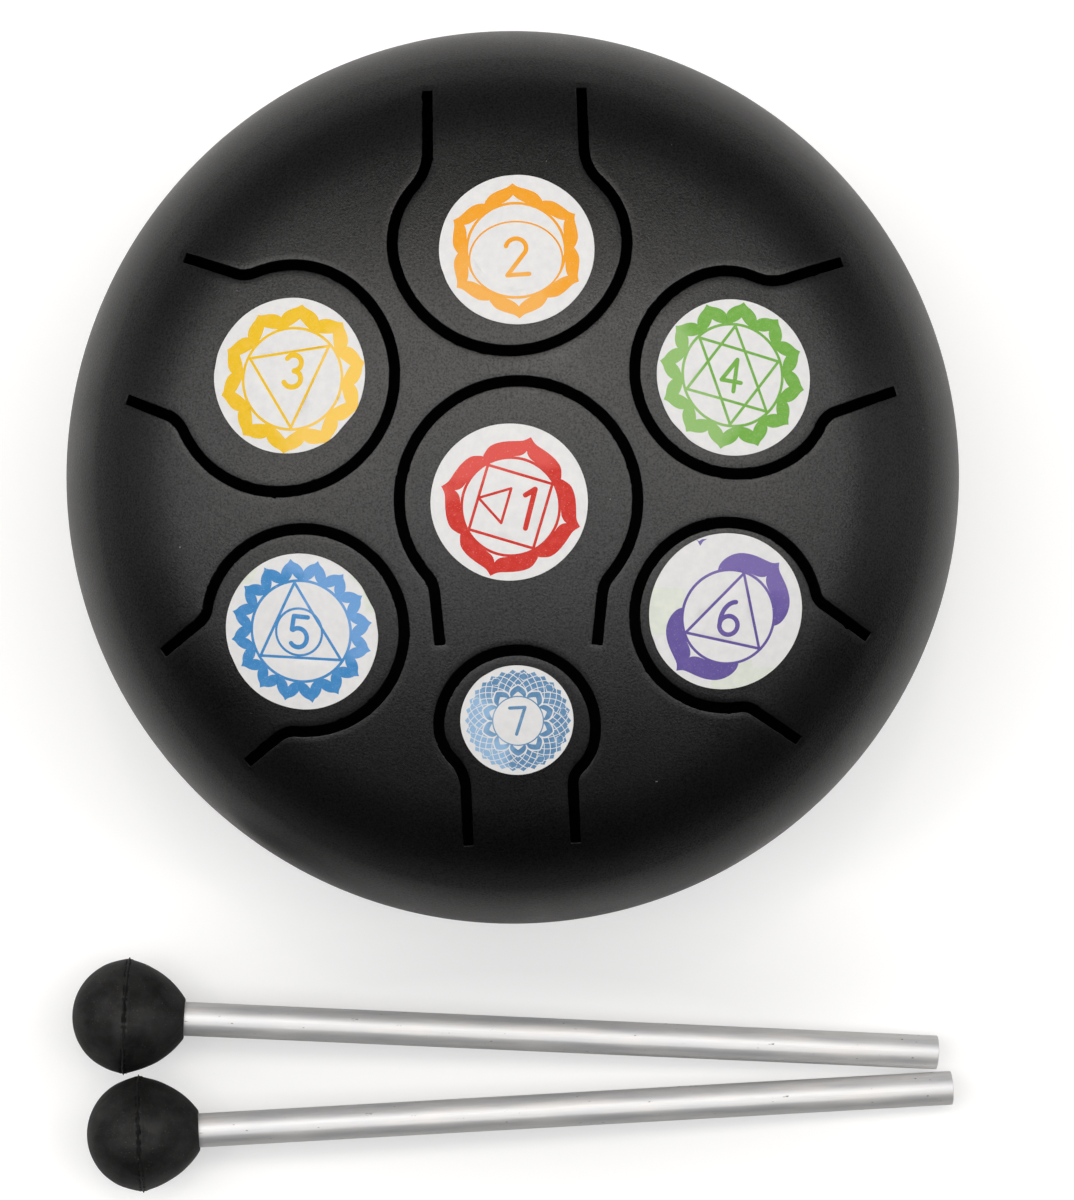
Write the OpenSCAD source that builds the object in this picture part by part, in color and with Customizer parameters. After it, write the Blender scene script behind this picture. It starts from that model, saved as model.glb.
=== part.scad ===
// Steel tongue drum with a pair of rubber-headed mallets.
// Two pressed steel halves are welded round the rim. Seven tongues are cut in the top half.
// Millimetres, +Z up, floor at z = 0. +Y points away from the mallets.

/* [Shell] */
// Outside diameter of the drum
drum_d = 150; // [146:1:190]
// Thickness of the pressed steel
steel_t = 1.5; // [1:0.1:2.5]
// Outside radius of the crown, top and bottom
crown_r = 165; // [150:1:190]
// Outside radius of the shoulder between the crown and the rim
shoulder_r = 31.8; // [28:0.2:35]
// Height of the straight band on each half at the rim
band_h = 2; // [1.5:0.25:6]
// Width of the weld bead on the rim
weld_w = 2.4; // [1.6:0.1:2.8]
// Depth of the groove that the weld fills
weld_depth = 0.8; // [0.4:0.1:0.9]
// Height of the weld bead above the steel
weld_proud = 0.25; // [0.1:0.05:0.5]
// Diameter of the sound hole in the bottom half
sound_hole_d = 32; // [20:1:48]

/* [Tongues] */
// Width of the slots round the tongues
slot_w = 1.8; // [1:0.1:2]
// Distance in plan from the rim to the ends of the outer slots
slot_rim_gap = 11.2; // [9:0.1:12]
// The same distance for the smallest tongue
small_rim_gap = 14.2; // [12:0.1:15]
// Length of the centre tongue's legs, from its bulb's centre
centre_leg = 23.1; // [20:0.1:26]
// Bulb radius of the orange tongue, on the slot's centre line
bulb_r_orange = 19; // [16:0.1:19.5]
// Bulb radius of the yellow tongue
bulb_r_yellow = 18.6; // [16:0.1:19]
// Bulb radius of the green tongue
bulb_r_green = 16.5; // [15:0.1:17]
// Bulb radius of the red tongue, in the centre
bulb_r_red = 19; // [16:0.1:19.5]
// Bulb radius of the violet tongue
bulb_r_violet = 14.9; // [14:0.1:16]
// Bulb radius of the blue tongue
bulb_r_blue = 16.3; // [14:0.1:17]
// Bulb radius of the light blue tongue, the smallest
bulb_r_light_blue = 12.6; // [11:0.1:14]
// Width of the orange tongue at its root, between the slots' centre lines
root_w_orange = 25; // [22:0.1:27]
// Width of the yellow tongue at its root
root_w_yellow = 24.9; // [22:0.1:27]
// Width of the green tongue at its root
root_w_green = 22.7; // [20:0.1:24]
// Width of the red tongue at its root
root_w_red = 25.1; // [22:0.1:27]
// Width of the violet tongue at its root
root_w_violet = 20.2; // [18:0.1:22]
// Width of the blue tongue at its root
root_w_blue = 22.5; // [19:0.1:24]
// Width of the light blue tongue at its root
root_w_light_blue = 17.4; // [15:0.1:19]

/* [Stickers] */
// Diameter of the six larger stickers
sticker_d = 25.4; // [20:0.1:26]
// Diameter of the sticker on the smallest tongue
small_sticker_d = 18.2; // [14:0.1:20]
// Thickness of a paper sticker with its glue
sticker_t = 0.15; // [0.1:0.05:0.3]

/* [Feet] */
// Distance from the drum's axis to each foot's axis
foot_place_r = 36; // [32:0.5:42]
// Diameter of a foot where it is glued on
foot_d = 14; // [10:0.5:16]
// Diameter of a foot on the floor
foot_tip_d = 11; // [8:0.5:14]
// Height of a foot on its axis
foot_h = 6.5; // [5:0.25:9]
// Thickness of the adhesive disc over a foot
adhesive_t = 0.3; // [0.2:0.05:0.5]

/* [Mallets] */
// Whole length of a mallet
mallet_len = 154; // [130:1:180]
// Outside diameter of the aluminium tube
tube_d = 6; // [5:0.1:8]
// Wall of the tube
tube_wall = 1; // [0.5:0.1:1.5]
// Diameter of the rubber head at its parting line
head_d = 20; // [16:0.5:24]
// Height of the moulding flash on the parting line
flash_h = 0.5; // [0.2:0.05:0.6]
// Width of the rubber lip round the tube
lip_w = 0.6; // [0.3:0.05:1.2]
// Depth of the dish inside the lip
dish_depth = 0.7; // [0.3:0.05:1]
// How far the tube goes past the parting line inside the head
tube_past = 2; // [0:0.25:4]
// Clear distance from the drum to the nearer head
pair_gap = 8.7; // [2:0.1:20]
// Clear distance between the two mallets
mallet_gap = 0.3; // [0.2:0.05:1]
// How far the nearer mallet lies to the left of the other
stagger = 2.6; // [1.5:0.1:6]

/* [Hidden] */

// Facets of the round shapes
$fn = 180;
// Degrees between the points of a slot's curves
step_deg = 7;
// Overrun of a cut past the face that it leaves
over = 1;

// Shell, with z counted from the rim's middle plane
drum_r = drum_d / 2;
shoulder_x = drum_r - shoulder_r;
crown_drop = sqrt(pow(crown_r - shoulder_r, 2) - pow(shoulder_x, 2));
crown_z = band_h - crown_drop;
half_h = crown_z + crown_r;
turn_deg = atan2(crown_drop, shoulder_x);

// The adhesive discs and feet stand between the bottom crown and the floor
foot_sag = crown_r - sqrt(pow(crown_r, 2) - pow(foot_place_r, 2));
belly_z = foot_h + adhesive_t - foot_sag;
rim_z = belly_z + half_h;
top_crown_z = rim_z + crown_z;
bottom_crown_z = rim_z - crown_z;
foot_deg = [90, 210, 330];
foot_chamfer_share = 0.05;

// Tongues, in the order of the tables below.
// Angles count from +X. A left and a right value are as seen from the drum's middle.
TONGUES = ["orange", "yellow", "green", "red", "violet", "blue", "light_blue"];
RED = search(["red"], TONGUES)[0];
SMALL = search(["light_blue"], TONGUES)[0];
bulb_r = [
    bulb_r_orange, bulb_r_yellow, bulb_r_green, bulb_r_red,
    bulb_r_violet, bulb_r_blue, bulb_r_light_blue
];
root_w = [
    root_w_orange, root_w_yellow, root_w_green, root_w_red,
    root_w_violet, root_w_blue, root_w_light_blue
];
// Direction in which each tongue's root points
axis_deg = [90.5, 157.9, 24, -90, -33.7, -142.7, -88.8];
// Direction and distance of each bulb's centre from the drum's axis
place_deg = [90.5, 157.6, 24, -76.5, -33.7, -142.7, -88.8];
place_shares = [0.509, 0.537, 0.528, 0.064, 0.554, 0.561, 0.549];
// Part of the root's width that lies left of the tongue's axis
left_shares = [0.528, 0.506, 0.424, 0.5, 0.495, 0.502, 0.523];
// Where the bulb's curve tightens towards the root, left and right, and by how much
tighten_deg = [[105, 105], [105, 105], [85, 80], [80, 80], [80, 80], [80, 83], [80, 99]];
tighten_shares = [
    [0.73, 0.72], [0.92, 0.84], [0.71, 0.78], [0.96, 0.94], [0.98, 1], [1, 0.89], [0.61, 0.64]
];
// Radius of the bend from the bulb to each leg
bend_shares = [
    [0.47, 0.42], [0.29, 0.26], [0.44, 0.24], [0.31, 0.29], [0.22, 0.24], [0.29, 0.24], [0.33, 0.6]
];
// Lean of each leg away from the tongue's axis
lean_deg = [[0.4, -1.6], [0.7, -3], [-5.2, 4], [-5.7, -5.7], [-1.1, 0], [1.8, -0.7], [1.8, -1]];
// Place of each sticker on its bulb: right of the tongue's axis, and out towards the root
sticker_right_shares = [0.06, 0.037, 0.041, 0.076, -0.029, 0, 0];
sticker_out_shares = [-0.133, -0.075, -0.053, 0.016, -0.033, 0.023, -0.104];

// Mallets. The parting line of each head rests on the floor, and so does the tube's far end.
// Width of the flash over its height
flash_w_share = 2.2;
// Depth of the head's two halves, and the radius of the inner half's curve, over the head's radius
nose_share = 0.955;
mouth_share = 1.02;
mouth_arc_share = 1.5;
tube_r = tube_d / 2;
head_r = head_d / 2;
flash_r = head_r + flash_h;
flash_w = flash_w_share * flash_h;
nose_len = nose_share * head_r;
mouth_len = mouth_share * head_r;
lip_r = tube_r + lip_w;
reach = mallet_len - nose_len;
tilt_deg = atan2(flash_r - tube_r, reach);
head_sep = head_r + flash_r + mallet_gap;
end_sep = tube_d + mallet_gap;
splay_deg = asin((head_sep - end_sep) / 2 / reach);
pair_y = -(drum_r + pair_gap + flash_r + head_sep / 2);

// The set's box is centred on the origin
far_y = pair_y - head_sep / 2 - flash_r;
weld_r = drum_r + weld_proud;
set_shift = -(weld_r + far_y) / 2;

function polar(r, deg) = r * [cos(deg), sin(deg)];

// One side of a slot's centre line, from the bulb's inner end to the end of the leg.
// Each point is [across, out] and the direction from there away from the tongue.
// r, turn: bulb's radius, and the angle where it tightens. share: how much. bend: bend to the leg.
function side_path(r, turn, share, bend, half_root, lean, leg_end) =
    let(
        tight_r = share * r,
        tight_c = (r - tight_r) * [sin(turn), cos(turn)],
        along = [sin(lean), cos(lean)],
        away = [cos(lean), -sin(lean)],
        from_tight = [half_root, leg_end] + bend * away - tight_c,
        ahead = from_tight * along,
        run = sqrt(pow(ahead, 2) - from_tight * from_tight + pow(tight_r + bend, 2)) - ahead,
        to_bend = from_tight + run * along,
        bend_c = tight_c + to_bend,
        meet = atan2(to_bend[0], to_bend[1]),
        knee = 90 + lean,
        bulb_n = ceil((180 - turn) / step_deg),
        tight_n = ceil((turn - meet) / step_deg),
        bend_n = ceil((knee - meet) / step_deg)
    )
    concat(
        [for (i = [0:bulb_n]) let(a = 180 - i * (180 - turn) / bulb_n, d = [sin(a), cos(a)])
            [r * d, d]],
        [for (i = [1:tight_n]) let(a = turn - i * (turn - meet) / tight_n, d = [sin(a), cos(a)])
            [tight_c + tight_r * d, d]],
        [for (i = [1:bend_n]) let(a = meet + i * (knee - meet) / bend_n, d = [sin(a), cos(a)])
            [bend_c - bend * d, d]],
        [[[half_root, leg_end], away]]
    );

function mirrored(path) = [for (p = path) [[-p[0][0], p[0][1]], [-p[1][0], p[1][1]]]];

// The whole centre line of tongue i, with its right side first
function slot_path(i) =
    let(
        r = bulb_r[i],
        left = left_shares[i] * root_w[i],
        right = root_w[i] - left,
        end_r = drum_r - (i == SMALL ? small_rim_gap : slot_rim_gap),
        place = place_shares[i] * drum_r,
        left_end = i == RED ? centre_leg : sqrt(pow(end_r, 2) - pow(left, 2)) - place,
        right_end = i == RED ? centre_leg : sqrt(pow(end_r, 2) - pow(right, 2)) - place,
        a = side_path(r, tighten_deg[i][1], tighten_shares[i][1], bend_shares[i][1] * r,
            right, lean_deg[i][1], right_end),
        b = mirrored(side_path(r, tighten_deg[i][0], tighten_shares[i][0], bend_shares[i][0] * r,
            left, lean_deg[i][0], left_end)),
        n = len(a)
    )
    concat([for (k = [n - 1:-1:1]) a[k]], b);

function slot_outline(i) =
    let(path = slot_path(i), n = len(path))
    concat(
        [for (p = path) p[0] + slot_w / 2 * p[1]],
        [for (k = [n - 1:-1:0]) path[k][0] - slot_w / 2 * path[k][1]]
    );

// Section of the upper half, with the rim's middle plane at y = 0.
// The crown and shoulder arcs meet on the line through both centres, so they are tangent.
module half_section() {
    far = 2 * crown_r;
    shoulder_c = [shoulder_x, band_h];
    join = shoulder_c + polar(far, turn_deg);
    intersection() {
        translate([0, crown_z]) difference() {
            circle(crown_r);
            circle(crown_r - steel_t);
        }
        polygon([[0, crown_z], shoulder_c, join, [0, join[1]]]);
    }
    intersection() {
        translate(shoulder_c) difference() {
            circle(shoulder_r);
            circle(shoulder_r - steel_t);
        }
        polygon([shoulder_c, [shoulder_x + far, band_h], [shoulder_x + far, join[1]], join]);
    }
    difference() {
        translate([drum_r - steel_t, 0]) square([steel_t, band_h]);
        weld_groove();
    }
}

module weld_groove() {
    polygon([
        [drum_r - weld_depth, 0],
        [drum_r, weld_w / 2],
        [drum_r + over, weld_w / 2],
        [drum_r + over, -over],
        [drum_r - weld_depth, -over]
    ]);
}

module half_shell() {
    rotate_extrude() half_section();
}

// Tongues are left where these cuts go through the top half
module tongue_slot(i) {
    bulb = polar(place_shares[i] * drum_r, place_deg[i]);
    translate([bulb[0], bulb[1], 0])
        rotate([0, 0, axis_deg[i] - 90])
        linear_extrude(half_h + over)
        polygon(slot_outline(i));
}

module top_shell() {
    color("#1c1c1e") translate([0, set_shift, rim_z]) difference() {
        half_shell();
        for (i = [0:len(bulb_r) - 1]) tongue_slot(i);
    }
}

module bottom_shell() {
    color("#1c1c1e") translate([0, set_shift, rim_z]) difference() {
        mirror([0, 0, 1]) half_shell();
        translate([0, 0, -half_h - over]) cylinder(h = steel_t + 2 * over, d = sound_hole_d);
    }
}

module rim_weld() {
    color("#232325") translate([0, set_shift, rim_z]) rotate_extrude() polygon([
        [drum_r - weld_depth, 0],
        [drum_r, -weld_w / 2],
        [weld_r, -weld_w / 4],
        [weld_r, weld_w / 4],
        [drum_r, weld_w / 2]
    ]);
}

// A paper disc that lies on the crown: a thin spherical cap about the crown's centre
module sticker(i, tint) {
    d = i == SMALL ? small_sticker_d : sticker_d;
    bulb = polar(place_shares[i] * drum_r, place_deg[i]);
    right = sticker_right_shares[i] * bulb_r[i] * polar(1, axis_deg[i] - 90);
    out = sticker_out_shares[i] * bulb_r[i] * polar(1, axis_deg[i]);
    place = bulb + right + out;
    far = 2 * crown_r;
    half_deg = asin(d / 2 / crown_r);
    color(tint) translate([0, set_shift, top_crown_z])
        rotate([0, asin(norm(place) / crown_r), atan2(place[1], place[0])])
        rotate_extrude() intersection() {
            difference() {
                circle(crown_r + sticker_t);
                circle(crown_r);
            }
            polygon([[0, 0], [far * tan(half_deg), far], [0, far]]);
        }
}

// Solid ball on the bottom crown, grown by a layer
module bottom_ball(layer) {
    translate([0, 0, bottom_crown_z]) rotate_extrude() intersection() {
        circle(crown_r + layer);
        translate([0, -2 * crown_r]) square([2 * crown_r, 4 * crown_r]);
    }
}

// A moulded foot with a small chamfer on the floor and a top that fits the crown
module foot(i) {
    place = polar(foot_place_r, foot_deg[i]);
    chamfer = foot_chamfer_share * foot_tip_d;
    top = 2 * foot_h;
    color("#151515") translate([0, set_shift, 0]) difference() {
        translate([place[0], place[1], 0]) rotate_extrude() polygon([
            [0, 0],
            [foot_tip_d / 2 - chamfer, 0],
            [foot_tip_d / 2, chamfer],
            [foot_d / 2, foot_h],
            [foot_d / 2, top],
            [0, top]
        ]);
        bottom_ball(adhesive_t);
    }
}

module foot_adhesive(i) {
    place = polar(foot_place_r, foot_deg[i]);
    color("#d8d4c4") translate([0, set_shift, 0]) intersection() {
        translate([place[0], place[1], 0]) cylinder(h = 2 * foot_h, d = foot_d);
        difference() {
            bottom_ball(adhesive_t);
            bottom_ball(0);
        }
    }
}

// Places a mallet that is drawn along +X with its parting line at x = 0.
// Mallet 0 is the nearer one to the drum.
module laid_mallet(i) {
    side = i == 0 ? 1 : -1;
    in_plan = reach * cos(tilt_deg) * cos(splay_deg);
    head_x = -(in_plan - nose_len) / 2 - side * stagger / 2;
    translate([head_x, set_shift + pair_y + side * head_sep / 2, flash_r * cos(tilt_deg)])
        rotate([0, tilt_deg, -side * splay_deg])
        children();
}

module mallet_tube(i) {
    color("#c8cacd") laid_mallet(i) translate([-tube_past, 0, 0]) rotate([0, 90, 0]) difference() {
        cylinder(h = reach + tube_past, d = tube_d);
        translate([0, 0, -over]) cylinder(h = reach + tube_past + 2 * over, r = tube_r - tube_wall);
    }
}

// Two moulded halves meet at the parting line. The inner half narrows to a lip round the tube.
module head_section() {
    nose_c = (pow(head_r, 2) - pow(nose_len, 2)) / (2 * nose_len);
    mouth_arc_r = mouth_arc_share * head_r;
    chord = [mouth_len, lip_r - head_r];
    rise = sqrt(pow(mouth_arc_r, 2) - chord * chord / 4);
    mouth_c = [0, head_r] + chord / 2 + rise * [chord[1], -chord[0]] / norm(chord);
    lap = flash_w / 4;
    difference() {
        union() {
            intersection() {
                translate([nose_c, 0]) circle(nose_len + nose_c);
                translate([-2 * head_r, 0]) square([2 * head_r + lap, 2 * head_r]);
            }
            intersection() {
                translate(mouth_c) circle(mouth_arc_r);
                translate([-lap, 0]) square([mouth_len + lap, 2 * head_r]);
            }
        }
        polygon([
            [-tube_past, -over],
            [-tube_past, tube_r],
            [mouth_len - dish_depth, tube_r],
            [mouth_len + over, lip_r - lip_w / 4],
            [mouth_len + over, -over]
        ]);
    }
}

// A thin ridge of rubber that the mould leaves on the parting line
module flash_section() {
    root_r = head_r - flash_h;
    polygon([[-flash_w / 2, root_r], [0, flash_r], [flash_w / 2, root_r]]);
}

// Turns a section drawn along +X about the X axis
module turned() {
    rotate([0, 90, 0]) rotate([0, 0, 90]) rotate_extrude()
        rotate([0, 0, 90]) mirror([0, 1]) children();
}

module mallet_head(i) {
    color("#1a1a1a") laid_mallet(i) {
        turned() head_section();
        turned() flash_section();
    }
}

top_shell();
bottom_shell();
rim_weld();
sticker(0, "#f7a833");  // sticker_orange
sticker(1, "#f2c62e");  // sticker_yellow
sticker(2, "#57ad45");  // sticker_green
sticker(3, "#d8343a");  // sticker_red
sticker(4, "#5b4a9e");  // sticker_violet
sticker(5, "#3c86cc");  // sticker_blue
sticker(6, "#6aa6d8");  // sticker_light_blue
foot(0);  // foot_1
foot(1);  // foot_2
foot(2);  // foot_3
foot_adhesive(0);  // foot_1_adhesive
foot_adhesive(1);  // foot_2_adhesive
foot_adhesive(2);  // foot_3_adhesive
mallet_tube(0);  // mallet_1_tube
mallet_head(0);  // mallet_1_head
mallet_tube(1);  // mallet_2_tube
mallet_head(1);  // mallet_2_head
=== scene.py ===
"""Looks of a small steel tongue drum and its pair of rubber-headed mallets. Metres, +Z up."""
import math

import bmesh
import bpy
import numpy as np
from mathutils import Matrix, Vector, geometry, noise


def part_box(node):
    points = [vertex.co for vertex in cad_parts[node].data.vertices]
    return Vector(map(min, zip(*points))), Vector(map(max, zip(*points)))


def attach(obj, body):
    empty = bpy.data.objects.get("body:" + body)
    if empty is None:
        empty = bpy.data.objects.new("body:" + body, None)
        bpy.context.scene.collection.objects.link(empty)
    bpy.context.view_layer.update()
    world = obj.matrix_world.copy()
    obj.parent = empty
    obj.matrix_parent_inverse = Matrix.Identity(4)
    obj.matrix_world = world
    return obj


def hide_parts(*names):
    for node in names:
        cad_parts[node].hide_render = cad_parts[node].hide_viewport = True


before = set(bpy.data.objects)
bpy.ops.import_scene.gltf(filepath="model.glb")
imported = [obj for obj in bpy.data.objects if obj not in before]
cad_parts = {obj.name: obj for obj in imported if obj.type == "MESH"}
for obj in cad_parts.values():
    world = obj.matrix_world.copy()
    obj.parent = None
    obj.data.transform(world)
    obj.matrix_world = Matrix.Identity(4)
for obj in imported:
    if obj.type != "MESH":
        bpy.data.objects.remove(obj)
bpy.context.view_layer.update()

MM = 0.001


# Bottom half: a bowl pressed from steel sheet, with a round sound hole punched in its middle.
# After the two halves are welded, the whole drum is powder coated matt black, inside and out.
drum_r = 75 * MM
steel_t = 1.5 * MM
crown_r = 165 * MM
shoulder_r = 31.8 * MM
band_h = 2 * MM
sound_hole_r = 16 * MM
hole_edge_r = 0.35 * MM
weld_depth = 0.8 * MM
weld_w = 2.4 * MM
drum_steps = 240
curve_steps = 40
edge_steps = 4
shoulder_x = drum_r - shoulder_r
shoulder_centre = (shoulder_x, band_h)
crown_z = band_h - math.sqrt((crown_r - shoulder_r) ** 2 - shoulder_x ** 2)
crown_end = math.asin(shoulder_x / (crown_r - shoulder_r))
quarter = math.pi / 2

low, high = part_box("top_shell")
axis = (low + high) / 2
rim_centre = Vector((axis.x, axis.y, low.z))


def bent(centre, radius, start, end, steps):
    """Points (r, z) along an arc, between angles from straight up, positive outwards."""
    angles = [start + (end - start) * k / steps for k in range(steps + 1)]
    return [(centre[0] + radius * math.sin(a), centre[1] + radius * math.cos(a)) for a in angles]


def pressed_curve(depth, start):
    """Points (r, z) of the pressed form at a depth under its outside, from an angle to the band."""
    return (bent((0, crown_z), crown_r - depth, start, crown_end, curve_steps)
            + bent(shoulder_centre, shoulder_r - depth, crown_end, quarter, curve_steps)[1:])


def skin(made, rings):
    """Faces from each ring of vertices to the next. A pole is a ring that repeats one vertex."""
    for one, two in zip(rings, rings[1:]):
        for k in range(len(one)):
            corners = [one[k - 1], one[k], two[k], two[k - 1]]
            corners = [c for n, c in enumerate(corners) if c is not corners[n - 1]]
            if len(corners) > 2:
                made.faces.new(corners)


def round_z(r, z, angle):
    """The point at a radius and a height, at an angle round Z."""
    return (r * math.cos(angle), r * math.sin(angle), z)


def turned(section, steps, place=round_z):
    """A mesh from a closed section of (r, z) points, turned by a rule; r = 0 makes a pole."""
    made = bmesh.new()
    rings = []
    for r, z in section:
        if r < 1e-7:
            rings.append([made.verts.new(place(0, z, 0))] * steps)
        else:
            rings.append([made.verts.new(place(r, z, 2 * math.pi * k / steps)) for k in range(steps)])
    skin(made, rings + rings[:1])
    return made


def put(name, data):
    """A new object in the scene, at the origin."""
    made = bpy.data.objects.new(name, data)
    bpy.context.scene.collection.objects.link(made)
    return made


def finished_piece(name, made, finishes, crease_deg=35):
    """An object from a bmesh, its faces outwards, smooth but for its creases, with its finishes."""
    bmesh.ops.recalc_face_normals(made, faces=made.faces)
    mesh = bpy.data.meshes.new(name)
    made.to_mesh(mesh)
    made.free()
    mesh.shade_smooth()
    mesh.set_sharp_from_angle(angle=math.radians(crease_deg))
    for one in finishes:
        mesh.materials.append(one)
    return put(name, mesh)


def new_finish(name, color, roughness, metallic=0.0, specular=0.5):
    """A material and its shader, with the values that are the same all over the surface."""
    material = bpy.data.materials.new(name)
    material.use_nodes = True
    shader = material.node_tree.nodes["Principled BSDF"]
    values = {"Base Color": (*color, 1), "Roughness": roughness, "Metallic": metallic,
              "Specular IOR Level": specular}
    for key, value in values.items():
        shader.inputs[key].default_value = value
    return material, shader


def added(owner, kind, inputs=(), **settings):
    """A new node beside a node, or in a tree, with its settings. Each input, by name or number, is
    linked from another node's socket or set to a value."""
    tree = owner.id_data
    node = tree.nodes.new(kind)
    for key, value in settings.items():
        setattr(node, key, value)
    for key, value in dict(inputs).items():
        if isinstance(value, bpy.types.NodeSocket):
            tree.links.new(value, node.inputs[key])
        else:
            node.inputs[key].default_value = value
    return node


def linked(shader, source, target):
    """Leads a socket into one of the shader's inputs."""
    shader.id_data.links.new(source, shader.inputs[target])


def sums(owner, operation, *values):
    """The result of one sum of values or sockets."""
    return added(owner, "ShaderNodeMath", enumerate(values), operation=operation).outputs[0]


def on_piece(shader):
    """The place on the piece, in Object coordinates."""
    return added(shader, "ShaderNodeTexCoord").outputs["Object"]


def grain(shader, size, detail, along=None):
    """Noise whose grains are about so large, in metres. A vector socket may turn or stretch it."""
    return added(shader, "ShaderNodeTexNoise", {
        "Vector": along or on_piece(shader), "Scale": 1 / size, "Detail": detail,
        "Roughness": 0.6}).outputs["Fac"]


def ramp(shader, source, *stops):
    """Turns a value into colours or greys between two stops of (place, colour or grey)."""
    node = added(shader, "ShaderNodeValToRGB", {"Fac": source})
    for element, (place, tone) in zip(node.color_ramp.elements, stops):
        element.position = place
        element.color = (*tone, 1) if isinstance(tone, tuple) else (tone, tone, tone, 1)
    return node.outputs["Color"]


def bumped(shader, *heights):
    """Leads bump from pairs of (height socket, depth in metres) into the shader, one on another."""
    before = {}
    for height, depth in heights:
        bump = added(shader, "ShaderNodeBump",
                     {"Height": height, "Strength": 1.0, "Distance": depth, **before})
        before = {"Normal": bump.outputs["Normal"]}
    linked(shader, before["Normal"], "Normal")


def mixed(shader, part, one, two):
    """Mixes two colours, each a socket or a value, by a part from 0 to 1."""
    one, two = ((*c, 1) if isinstance(c, tuple) else c for c in (one, two))
    return added(shader, "ShaderNodeMix", {"Factor": part, 6: one, 7: two},
                 data_type="RGBA").outputs[2]


def toned(color, by):
    """The same hue, so many times as bright."""
    return tuple(by * c for c in color)


def powder_coat(name, color):
    """Matt black powder: a fine orange-peel grain, uneven gloss and a few specks of dust."""
    material, shader = new_finish(name, color, 0.5)
    fine = grain(shader, 0.36 * MM, 3)
    broad = grain(shader, 14 * MM, 2)
    specks = ramp(shader, grain(shader, 0.9 * MM, 1), (0.82, 0), (0.85, 1))
    coat = ramp(shader, fine, (0.3, toned(color, 0.6)), (0.7, toned(color, 1.5)))
    linked(shader, mixed(shader, specks, coat, (0.16, 0.155, 0.15)), "Base Color")
    linked(shader, ramp(shader, sums(shader, "ADD", fine, broad), (0.7, 0.31), (1.3, 0.39)), "Roughness")
    pits = ramp(shader, grain(shader, 0.33 * MM, 2), (0.42, 0), (0.7, 0.5))
    linked(shader, pits, "Metallic")
    bumped(shader, (fine, 0.04 * MM))
    return material


def coat_inside(made):
    """Turns the faces outwards, and gives the second finish to those that look into the cavity."""
    bmesh.ops.recalc_face_normals(made, faces=made.faces)
    for face in made.faces:
        middle = face.calc_center_median()
        if middle.dot(face.normal) < -0.3 * middle.length:
            face.material_index = 1


coat = powder_coat("powder_coat", (0.0022, 0.0022, 0.0023))
thin_coat, _ = new_finish("thin_coat_inside", (0.004, 0.004, 0.004), 0.85, specular=0.1)

hole_top_r = sound_hole_r + hole_edge_r
outside = pressed_curve(0, math.asin(hole_top_r / crown_r))
inside = pressed_curve(steel_t, math.asin(hole_top_r / (crown_r - steel_t)))
hole_edge = bent((hole_top_r, outside[0][1] - hole_edge_r), hole_edge_r, 0, -quarter, edge_steps)[1:]
hole_edge += bent((hole_top_r, inside[0][1] + hole_edge_r), hole_edge_r, -quarter, -math.pi,
                  edge_steps)[1:-1]
rim_of_half = [(drum_r, weld_w / 2), (drum_r - weld_depth, 0), (drum_r - steel_t, 0)]
bowl_section = [(r, -z) for r, z in outside + rim_of_half + inside[::-1] + hole_edge[::-1]]
bowl = turned(bowl_section, drum_steps)
coat_inside(bowl)
bmesh.ops.translate(bowl, verts=bowl.verts, vec=rim_centre)
bottom_half = finished_piece("bottom_half", bowl, [coat, thin_coat])
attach(bottom_half, "drum")
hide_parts("bottom_shell")


# Top half: the same pressing, in which a laser has cut seven keyhole slots that leave the tongues.
# The steel is drawn down a little along the slots, and the powder lines them and rounds their edges.
slot_w = 1.8 * MM
coat_t = 0.04 * MM
slot_edge_r = 0.12 * MM
drawn_down = 0.07 * MM
drawn_w = 1.1 * MM
drawn_shares = (0.85, 0.7, 0.55, 0.4, 0.27, 0.15, 0.06)
corner_r = 0.25 * MM
edge_wander = 0.045 * MM
nick_depth = 0.5 * MM
wander_rate, nick_rate, burr_rate = 0.7, 2.3, 2.7
nick_from, burr_from = 0.42, 0.45
rim_gap = 11.2 * MM
small_rim_gap = 14.2 * MM
centre_leg = 23.1 * MM
arc_step_deg = 1.6
leg_step = 0.6 * MM
plan_reach = 68 * MM
plan_step = 2 * MM
rim_steps = 20


def toward(deg):
    """A unit vector at an angle in degrees, anticlockwise from +X."""
    return Vector((math.cos(math.radians(deg)), math.sin(math.radians(deg))))


class Tongue:
    """One tongue's driving sizes, in the order left side, right side where there are two."""

    def __init__(self, name, bulb, root, root_left, points, place, place_deg, tighten, shares,
                 bend, lean, sticker):
        self.name = name
        self.bulb = bulb * MM
        self.root = [root_left * root * MM, (1 - root_left) * root * MM]
        self.out = toward(points)
        self.across = Vector((self.out.y, -self.out.x))
        self.centre = place * drum_r * toward(place_deg)
        self.tighten = tighten
        self.shares = shares
        self.bend = bend
        self.lean = lean
        self.sticker = sticker

    def leg_end(self, side):
        """How far out from the tongue's middle a leg ends."""
        if self.name == "red":
            return centre_leg
        gap = small_rim_gap if self.name == "light_blue" else rim_gap
        return math.sqrt((drum_r - gap) ** 2 - self.root[side] ** 2) - self.centre.length


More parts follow.
